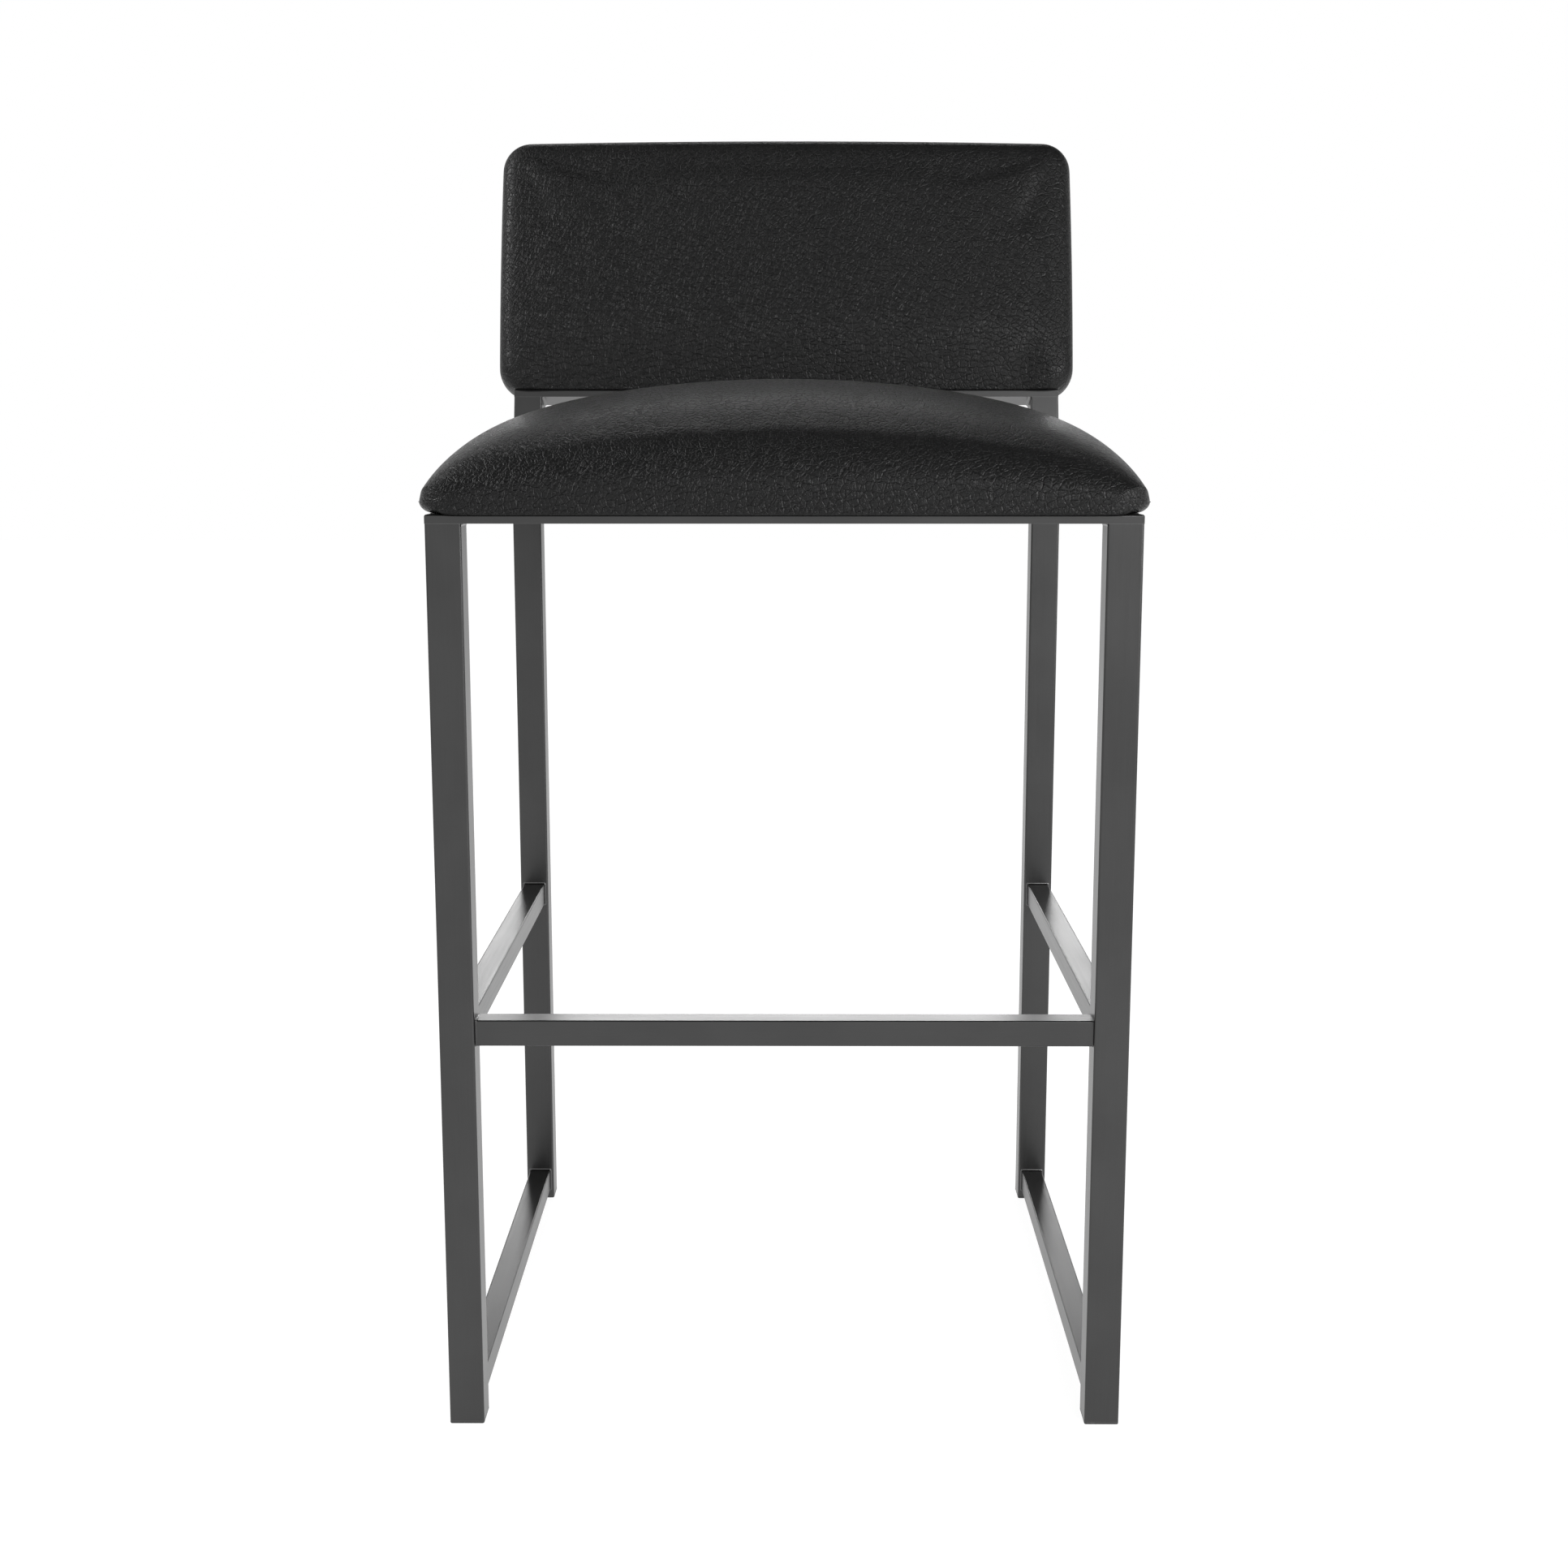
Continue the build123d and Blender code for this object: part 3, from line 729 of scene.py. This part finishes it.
seat = cushion(
    "seat_leather", SEAT_X, SEAT_Y, SEAT_CORNER, seat_skin, seat_underside, seat_form
)
seat.data.transform(Matrix.Translation((0, SEAT_MIDDLE, 0)))
inflate(seat, seat_held, seat_reach)
foam_x = SEAT_X - INSET
foam_y = SEAT_Y - INSET
foam = cushion(
    "seat_foam_dome", foam_x, foam_y, SEAT_CORNER - INSET,
    lambda x, y: seat_skin(x * SEAT_X / foam_x, y * SEAT_Y / foam_y) - INSET,
    lambda x, y: seat_underside(x * SEAT_X / foam_x, y * SEAT_Y / foam_y) + INSET,
    seat_form,
)
foam.data.transform(Matrix.Translation((0, SEAT_MIDDLE, 0)))
board_low, board_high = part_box("seat_board")
room = Vector((FOAM_GAP, FOAM_GAP, FOAM_GAP))
below = Vector((0, 0, 10 * MM))
cut_block(foam, board_low - room - below, board_high + room, 16 * MM)
settle(foam, FOAM, 40)
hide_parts("seat_foam")

apply(seat, "SUBSURF", levels=1, render_levels=1)
bpy.ops.object.mode_set(mode="EDIT")
hole_x = SEAT_X - TURNED_IN
hole_y = SEAT_Y - TURNED_IN
pick(seat, "faces", lambda at: at.z < seat_low.z + 3 * MM
     and abs(at.x) < hole_x and abs(at.y - SEAT_MIDDLE) < hole_y)
bpy.ops.mesh.delete(type="FACE")
bpy.ops.object.mode_set(mode="OBJECT")
apply(seat, "SOLIDIFY", thickness=HIDE, offset=-1.0)
settle(seat, LEATHER, 60)
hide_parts("seat_cover")


# ----------------------------------------------------------------------------
# Dust cloth and staples.  A black non-woven cloth closes the underside of the
# seat and hides the turned-in leather; it sags a little between the wire
# staples that hold it and the leather to the board.
# ----------------------------------------------------------------------------
def nonwoven():
    """Black spun-bonded cloth with its embossed dots."""
    cloth = Finish(bpy.data.materials.new("nonwoven_cloth"))
    dots = cloth.node("TexVoronoi", {}, {"Vector": cloth.place(), "Scale": 620.0})
    fibre = cloth.noise(cloth.place(), 1800.0, 4.0)
    tone = fibre * 0.7 + dots * 0.3
    cloth.surface(
        Base_Color=cloth.blend(tone, grey(0.016), grey(0.040)),
        Roughness=0.92,
        Normal=cloth.bump(cloth.step(dots, 0.1, 0.5) + fibre * 0.5, 0.12 * MM, 0.6),
    )
    return cloth.holder


CLOTH_THICK = 0.5 * MM
CLOTH_SAG = 1.6 * MM
CLOTH_RIPPLE = 0.45 * MM
CLOTH_HELD = 4 * MM
SAG_RUN = 55 * MM
RIPPLE_FROM = 6 * MM
RIPPLE_RUN = 28 * MM
STAPLE_PITCH = 42 * MM
cloth_low, cloth_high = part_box("seat_dust_cloth")
pins_low, pins_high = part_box("underside_staples")
tabs_low, tabs_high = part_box("seat_tabs")
TAB_REACH = 42 * MM
TAB_WIDE = 30 * MM
cloth_mid = (cloth_low + cloth_high) / 2
cloth_size = cloth_high - cloth_low
cloth = start(
    "seat_underside_cloth", bpy.ops.mesh.primitive_grid_add,
    x_subdivisions=96, y_subdivisions=86, size=1,
    location=(cloth_mid.x, cloth_mid.y, cloth_high.z),
)
bpy.ops.transform.resize(
    value=(cloth_size.x, cloth_size.y, 1),
    center_override=(cloth_mid.x, cloth_mid.y, cloth_high.z),
)
into_mesh()
for vert in cloth.data.vertices:
    x, y = vert.co.x, vert.co.y
    from_side = pins_high.x - abs(x)
    from_end = min(y - pins_low.y, pins_high.y - y)
    edge = min(from_side, from_end)
    run = x if from_end < from_side else y - cloth_mid.y
    to_tab = 1.0
    for tab_y in (tabs_low.y + TAB_WIDE / 2, tabs_high.y - TAB_WIDE / 2):
        off_x = tabs_high.x - TAB_REACH - abs(x)
        off_y = abs(y - tab_y) - TAB_WIDE / 2
        to_tab = min(to_tab, max(off_x, off_y))
    inside = max(min(edge, to_tab) - CLOTH_HELD, 0.0)
    sag = CLOTH_SAG * (1 - math.exp(-inside / SAG_RUN))
    ripple = CLOTH_RIPPLE * (1 - math.cos(math.tau * run / STAPLE_PITCH)) / 2
    near = min(inside / RIPPLE_FROM, 1.0) * math.exp(-inside / RIPPLE_RUN)
    vert.co.z -= sag + ripple * near
apply(cloth, "SOLIDIFY", thickness=CLOTH_THICK * 0.9, offset=-1.0)
settle(cloth, nonwoven(), 60)
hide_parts("seat_dust_cloth")
dress(ZINC, "underside_staples")

# ----------------------------------------------------------------------------
# Seat bolts and washers.  Four zinc-plated M6 hexagon bolts with chamfered
# heads, each with a flat washer, come up through the tabs into the T-nuts.
# ----------------------------------------------------------------------------
BOLT_FLATS = 10 * MM
BOLT_HEAD = 4 * MM
BOLT_SHANK = 3 * MM
BOLT_DISH = 0.25 * MM
bolts_low, bolts_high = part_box("seat_bolts")
HEX_RADIUS = BOLT_FLATS / 2 / math.cos(math.radians(30))
shank_length = bolts_high.z - bolts_low.z - BOLT_HEAD
model = start(
    "bolt", bpy.ops.mesh.primitive_cylinder_add,
    vertices=6, radius=HEX_RADIUS, depth=BOLT_HEAD, location=(0, 0, BOLT_HEAD / 2),
    rotation=(0, 0, math.radians(30)),
)
into_mesh()
bpy.ops.object.mode_set(mode="EDIT")
pick(model, "edges", lambda at: at.z < 0.1 * MM)
bpy.ops.mesh.bevel(offset=0.55 * MM, segments=3)
pick(model, "faces", lambda at: at.z < 0.01 * MM)
bpy.ops.mesh.inset(thickness=1.0 * MM)
bpy.ops.mesh.extrude_region_move(TRANSFORM_OT_translate={"value": (0, 0, BOLT_DISH)})
pick(model, "edges", lambda at: at.z > BOLT_HEAD - 0.1 * MM)
bpy.ops.mesh.bevel(offset=BOLT_DISH, segments=2)
bpy.ops.object.mode_set(mode="OBJECT")
shank = start(
    "shank", bpy.ops.mesh.primitive_cylinder_add, vertices=24, radius=BOLT_SHANK,
    depth=shank_length, location=(0, 0, BOLT_HEAD + shank_length / 2),
)
pick(shank, "edges", lambda at: at.z > BOLT_HEAD + shank_length * 0.99)
bpy.ops.mesh.bevel(offset=0.5 * MM, segments=2)
into_mesh()
bolt = join([model, shank], "bolt")
bolts = []
for x in (bolts_low.x + HEX_RADIUS, bolts_high.x - HEX_RADIUS):
    for y in (bolts_low.y + BOLT_FLATS / 2, bolts_high.y - BOLT_FLATS / 2):
        bolts.append(copy_of(bolt, "bolt", Matrix.Translation((x, y, bolts_low.z))))
bpy.data.objects.remove(bolt)
seat_bolts = settle(join(bolts, "seat_hex_bolts"), ZINC, 30)
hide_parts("seat_bolts")
dress(ZINC, "seat_washers")

# ----------------------------------------------------------------------------
# Back board, straps and bolts.  A plywood board inside the pad is bolted to two
# steel straps that stand up from the back bar.  None of it shows.
# ----------------------------------------------------------------------------
dress(PLYWOOD, "back_board")
dress(ZINC, "back_tnuts", "back_bolts", "back_washers")
dress(SATIN["leaning"], *pair("back_strap"))

# ----------------------------------------------------------------------------
# Back pad.  Foam on both sides of the board under black pebble-grained leather:
# one panel wraps the front and the edges, a second closes the back, and the two
# are sewn together round the back shoulder, with the edges turned in.
# ----------------------------------------------------------------------------
BACK_X = 262.3 * MM
BACK_Z = 120.2 * MM
BACK_HALF = 28 * MM
BACK_EDGE = 0.5 * MM
BACK_CORNER = 26 * MM
BACK_ROUND = 32 * MM
BACK_FULL = 2.5
BACK_BULGE = 2.3 * MM
BACK_SWELL = 2 * MM
BACK_REACH = (4 * MM, 50 * MM)
BACK_RIM = 12 * MM
BACK_BOW = 1.2 * MM
BACK_RISE = 3.2 * MM
BACK_DROP = 1.9 * MM
BACK_FOOT = -117 * MM
FOOT_FULL = 0.16
FOOT_ENDS = (0.80, 0.97)
FOOT_EDGE = 0.5 * MM
FOOT_FAR = 20
FOOT_HELD = 8 * MM
FOOT_TAPER = 0.43
TAPER_FROM = 45 * MM
BAR_BELOW = (0.5, 1.0)
BAR_ENDS = (0.90, 1.0)
DROP_LESS = 0.4
BACK_LAP = 1.4 * MM
BACK_LAP_DEEP = (LEG / 2 + 0.2 * MM, LEG / 2 + MM)
BACK_LAP_HIGH = 4 * MM
BOARD_X = 247 * MM
BOARD_Z = 105 * MM
BOARD_BACK = 2.5 * MM
BOARD_FRONT = 14.5 * MM
SEAM = -14 * MM
SEAM_DEEP = 1.8 * MM
SEAM_WIDE = 3.2 * MM
STRAP_X = 130 * MM
STRAP_HALF = 16 * MM
STRAP_HIGH = 131 * MM
POCKET = -9.2 * MM


def back_skin(x, z):
    """Height of the back pad's face over its middle plane; it tapers to the bar."""
    stands = 1 - ease(abs(x) / BACK_X, *FOOT_ENDS)
    taper = max(-z - TAPER_FROM, 0.0) / (BACK_Z - TAPER_FROM)
    if z < 0:
        z *= 1 - FOOT_FULL * stands
    depth = inside_outline(x, z, BACK_X, BACK_Z, BACK_CORNER)
    short = min(max(1 - depth / BACK_ROUND, 0.0), 1.0)
    rise = (1 - short**BACK_FULL) ** (1 / BACK_FULL)
    rise *= 1 - FOOT_TAPER * stands * taper**2
    crown = (1 - (x / BACK_X) ** 2) * (1 - (z / BACK_Z) ** 2)
    return BACK_EDGE + (BACK_HALF - BACK_BULGE - BACK_EDGE) * rise + BACK_BULGE * crown


def back_form(co, foot=BACK_FOOT):
    """Sides and top bow outwards; the foot is pressed flat on the back bar."""
    x, z = co.x, co.y
    x += BACK_BOW * (x / BACK_X) * (1 - (z / BACK_Z) ** 2)
    z += BACK_RISE * max(z / BACK_Z, 0.0) * (1 - (x / BACK_X) ** 2)
    on_bar = ease(-z / BACK_Z, *BAR_BELOW) * (1 - ease(abs(x) / BACK_X, *BAR_ENDS))
    z -= BACK_DROP * (1 - on_bar * DROP_LESS)
    above = (z - foot) / FOOT_EDGE
    if above < FOOT_FAR:
        z = foot + FOOT_EDGE * math.log1p(math.exp(above))
    lap = BACK_LAP * on_bar * ease(co.z, *BACK_LAP_DEEP)
    z -= lap * math.exp((foot - z) / BACK_LAP_HIGH)
    return Vector((x, z, co.z))


def back_held(co):
    """The hide is fixed round the board's edge and where it stands on the bar."""
    return abs(co.z) < BACK_RIM or co.y < BACK_FOOT + FOOT_HELD


def back_reach(co):
    """How far the back pad's hide may move at a place."""
    depth = inside_outline(co.x, co.y, BACK_X, BACK_Z, BACK_CORNER)
    return BACK_SWELL * ease(depth, *BACK_REACH)


def half_of(piece, name, plane, front, fill):
    """Copy of the part of a piece before or behind a plane across it."""
    half = copy_of(piece, name, Matrix.Identity(4))
    select_only(half)
    bpy.ops.object.mode_set(mode="EDIT")
    bpy.ops.mesh.select_all(action="SELECT")
    bpy.ops.mesh.bisect(
        plane_co=(0, 0, plane), plane_no=(0, 0, 1),
        use_fill=fill, clear_inner=front, clear_outer=not front,
    )
    bpy.ops.object.mode_set(mode="OBJECT")
    return half


def middle_of(x, z):
    """Point of the pad's middle part that lies nearest to a place."""
    near_x = max(-BACK_X + 2 * BACK_CORNER, min(BACK_X - 2 * BACK_CORNER, x))
    near_z = max(-BACK_Z + 2 * BACK_CORNER, min(BACK_Z - 2 * BACK_CORNER, z))
    return near_x, near_z


def draw_in(piece):
    """Pulls the leather in towards the seam all round."""
    for vert in piece.data.vertices:
        off = (vert.co.z - SEAM) / SEAM_WIDE
        pull = SEAM_DEEP * math.exp(-off * off)
        near_x, near_z = middle_of(vert.co.x, vert.co.y)
        away = Vector((vert.co.x - near_x, vert.co.y - near_z, 0))
        if away.length > BACK_CORNER:
            vert.co -= away.normalized() * pull


back = cushion(
    "back_pad", BACK_X, BACK_Z, BACK_CORNER,
    back_skin, lambda x, z: -back_skin(x, z), back_form,
)
inflate(back, back_held, back_reach)
pad_place = leaning @ Matrix.Translation((0, LEG / 2, UPRIGHT - BACK_FOOT)) @ turn(90, "X")
core_x = BACK_X - INSET
core_z = BACK_Z - INSET


def core_skin(x, z):
    """Height of the back foam's face over the pad's middle plane."""
    return max(back_skin(x * BACK_X / core_x, z * BACK_Z / core_z) - INSET, 0.3 * MM)


core = cushion(
    "core", core_x, core_z, BACK_CORNER - INSET,
    core_skin, lambda x, z: -core_skin(x, z), lambda co: back_form(co, BACK_FOOT + INSET),
)
front_foam = half_of(core, "back_foam_block_front", BOARD_BACK, True, True)
board_x = BOARD_X + FOAM_GAP
board_z = BOARD_Z + FOAM_GAP
cut_block(
    front_foam, (-board_x, -board_z, BOARD_BACK - 5 * MM),
    (board_x, board_z, BOARD_FRONT + FOAM_GAP), 12 * MM,
)
rear_foam = half_of(core, "back_foam_block_rear", BOARD_BACK, False, True)
for side in (-1, 1):
    x = side * STRAP_X
    cut_block(
        rear_foam, (x - STRAP_HALF, BACK_FOOT - 5 * MM, POCKET),
        (x + STRAP_HALF, STRAP_HIGH + BACK_FOOT, BOARD_BACK + 5 * MM),
    )
bpy.data.objects.remove(core)
for piece, node in ((front_foam, "back_foam_front"), (rear_foam, "back_foam_rear")):
    piece.data.transform(pad_place)
    settle(piece, FOAM, 40)
    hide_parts(node)

apply(back, "SUBSURF", levels=1, render_levels=1)
front_hide = half_of(back, "back_leather_front", SEAM, True, False)
rear_hide = half_of(back, "back_leather_rear", SEAM, False, False)
bpy.data.objects.remove(back)
for piece, node in ((front_hide, "back_cover_front"), (rear_hide, "back_cover_rear")):
    draw_in(piece)
    apply(piece, "SOLIDIFY", thickness=HIDE, offset=-1.0)
    piece.data.transform(pad_place)
    settle(piece, LEATHER, 60)
    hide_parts(node)


# ----------------------------------------------------------------------------
# Seam stitches.  A row of lockstitches in black bonded thread just behind the
# seam; they run round the sides and the top and hold the two panels together.
# ----------------------------------------------------------------------------
def bonded_thread():
    """Black twisted thread with a slight wax shine."""
    thread = Finish(bpy.data.materials.new("bonded_thread"))
    twist = thread.noise(thread.place(), 3800.0, 2.0)
    thread.surface(
        Base_Color=thread.blend(twist, grey(0.012), grey(0.026)),
        Roughness=0.50 + twist * 0.15,
        Normal=thread.bump(twist, 0.06 * MM, 0.7),
    )
    return thread.holder


STITCH = 3.4 * MM
STITCH_STEP = 4.6 * MM
THREAD = 0.32 * MM
STITCH_ROW = SEAM - 5 * MM
STITCH_FLAT = 0.7
STITCH_DIP = 0.9
STITCH_THIN = 0.6
STITCH_LIFT = 0.1 * MM
SEAM_FROM = 12 * MM
SEARCH = 20 * MM
model = start(
    "stitch", bpy.ops.mesh.primitive_cylinder_add, vertices=6, radius=THREAD,
    depth=STITCH * STITCH_FLAT, rotation=(0, math.radians(90), 0),
)
for side in (-1, 1):
    pick(model, "faces", lambda at: at.x * side > STITCH * STITCH_FLAT * 0.49)
    end = Vector((side * STITCH / 2, 0, -THREAD * STITCH_DIP))
    bpy.ops.mesh.extrude_region_move(
        TRANSFORM_OT_translate={"value": (side * STITCH * 0.15, 0, end.z)}
    )
    bpy.ops.transform.resize(value=[STITCH_THIN] * 3, center_override=end)
into_mesh()


def on_panel(x, z):
    """Point and outward normal on the rear panel, next to the seam."""
    origin = pad_place @ Vector((x, z, STITCH_ROW))
    middle = pad_place @ Vector((*middle_of(x, z), STITCH_ROW))
    way = (middle - origin).normalized()
    return rear_hide.ray_cast(origin - way * SEARCH, way)[1:3]


def along_seam():
    """Places on the outline, up one side, over the top and down the other."""
    corner_x, corner_z = BACK_X - BACK_CORNER, BACK_Z - BACK_CORNER
    places = []
    for i in range(int((corner_z - BACK_FOOT - SEAM_FROM) / STITCH_STEP)):
        places.append((-BACK_X, BACK_FOOT + SEAM_FROM + i * STITCH_STEP))
    arc = int(BACK_CORNER * math.pi / 2 / STITCH_STEP)
    for i in range(arc):
        a = math.pi - math.pi / 2 * (i + 0.5) / arc
        places.append((
            -corner_x + BACK_CORNER * math.cos(a), corner_z + BACK_CORNER * math.sin(a)
        ))
    other_side = [(-x, z) for x, z in reversed(places)]
    top = int(2 * corner_x / STITCH_STEP)
    for i in range(top):
        places.append((-corner_x + (i + 0.5) * 2 * corner_x / top, BACK_Z))
    return places + other_side


stitches = []
seam_line = along_seam()
for i, place in enumerate(seam_line):
    ahead = seam_line[min(i + 1, len(seam_line) - 1)]
    before = seam_line[max(i - 1, 0)]
    where, normal = on_panel(*place)
    run = pad_place.to_3x3() @ Vector((ahead[0] - before[0], ahead[1] - before[1], 0))
    run = (run - normal * run.dot(normal)).normalized()
    across = normal.cross(run)
    axes = Matrix((run, across, normal)).transposed().to_4x4()
    seated = Matrix.Translation(where + normal * STITCH_LIFT)
    stitches.append(copy_of(model, "stitch", seated @ axes))
bpy.data.objects.remove(model)
settle(join(stitches, "back_seam_stitches"), bonded_thread(), 60)


# ----------------------------------------------------------------------------
# Studio.  A seamless white floor and backdrop, soft light from all round, and
# eight softboxes: two on the left, four on the right and two behind.  The camera
# stands in front, about as high as the seat, and looks slightly down.
# ----------------------------------------------------------------------------
world = bpy.data.worlds.new("studio")
bpy.context.scene.world = world
sky = Finish(world)
AMBIENT = 0.60
CEILING = 0.10
SIDE_WALLS = 0.40
BACK_WALL = 0.75
TO_SIDE = (0.50, 0.85)
TO_BACK = (-0.2, 0.5)
FRONT_TOP = (0.57, 0.66)
BACK_TOP = (0.32, 0.48)
background = sky.tree.nodes["Background"]
gloss = sky.node("LightPath", out="Is Glossy Ray")
seen = (
    sky.node("LightPath", out="Is Camera Ray") + gloss
    + sky.node("LightPath", out="Is Transmission Ray")
)
way = sky.node("TexCoord", out="Generated")
across = sky.node("SeparateXYZ", {}, {0: way}, out="X")
behind = sky.node("SeparateXYZ", {}, {0: way}, out="Y")
up = sky.node("SeparateXYZ", {}, {0: way}, out="Z")
to_side = sky.step(sky.node("Math", {"operation": "ABSOLUTE"}, {0: across}), *TO_SIDE)
to_back = sky.step(behind, *TO_BACK)
above_front = sky.step(up, *FRONT_TOP)
above_back = sky.step(up, *BACK_TOP)
above = above_front + to_back * (above_back - above_front)
studio = (1 - above * (1 - CEILING)) * (1 - to_side * (1 - SIDE_WALLS))
studio = studio * (1 - to_back * (1 - BACK_WALL))
background.inputs["Color"].default_value = (1, 1, 1, 1)
level = AMBIENT + (1 - AMBIENT) * seen
sky.plug(background.inputs["Strength"], level - gloss * (1 - studio))

floor = start("floor", bpy.ops.mesh.primitive_plane_add, size=24)
bpy.ops.object.mode_set(mode="OBJECT")
paint = Finish(bpy.data.materials.new("studio_floor"))
SHADOW_SHARE = 0.30
FLOOR_WHITE = 0.80
FLOOR_GLOW = 1.24
FLOOR_IN_GLOSS = 0.87
matt = paint.node("BsdfDiffuse", {}, {"Color": grey(FLOOR_WHITE)})
glow = paint.node("Emission", {}, {"Color": grey(1.0), "Strength": FLOOR_GLOW})
eye = (
    paint.node("LightPath", out="Is Camera Ray")
    + paint.node("LightPath", out="Is Glossy Ray") * FLOOR_IN_GLOSS
    + paint.node("LightPath", out="Is Transmission Ray")
)
mixed = paint.node("MixShader", {}, {0: eye * (1 - SHADOW_SHARE), 1: matt, 2: glow})
outlet = paint.tree.nodes["Material Output"]
paint.tree.links.new(mixed.socket, outlet.inputs["Surface"])
floor.data.materials.append(paint.holder)


def softbox(name, width, height, place, aim, power):
    """A rectangular lamp at a place, facing a point, unseen by the camera."""
    data = bpy.data.lights.new(name, "AREA")
    data.shape = "RECTANGLE"
    data.size = width
    data.size_y = height
    data.energy = power
    lamp = bpy.data.objects.new(name, data)
    bpy.context.scene.collection.objects.link(lamp)
    lamp.location = place
    lamp.rotation_euler = (Vector(aim) - Vector(place)).to_track_quat("-Z", "Y").to_euler()
    lamp.visible_camera = False


STOOL = (0, 0, 0.8)
softbox("left", 0.9, 0.7, (-2.2, 0.1, 2.0), STOOL, 22)
softbox("high_left", 1.3, 0.75, (-1.68, 0.61, 2.25), STOOL, 8.6)
softbox("front_right", 1.0, 0.45, (1.03, -2.12, 1.90), STOOL, 9.5)
softbox("low_right", 0.9, 0.5, (1.41, -2.17, 1.10), STOOL, 19)
softbox("side_right", 1.2, 0.8, (2.2, -1.2, 1.3), STOOL, 30)
softbox("high_back", 1.4, 0.3, (-0.05, 2.35, 2.40), STOOL, 4.6)
softbox("corner_right", 0.7, 0.5, (1.61, -1.73, 1.61), STOOL, 4.5)
softbox("low_back", 1.9, 0.5, (0, 4.0, 1.55), (0, -0.28, 0.3), 23)

camera_data = bpy.data.cameras.new("camera")
camera_data.sensor_width = 36
camera_data.lens = 47.70
camera = bpy.data.objects.new("camera", camera_data)
bpy.context.scene.collection.objects.link(camera)
camera.location = (5.4 * MM, -1732.4 * MM, 728.8 * MM)
camera.rotation_euler = (math.radians(90 - 9.728), 0, math.radians(0.219))
bpy.context.scene.camera = camera
bpy.context.scene.view_settings.view_transform = "Standard"
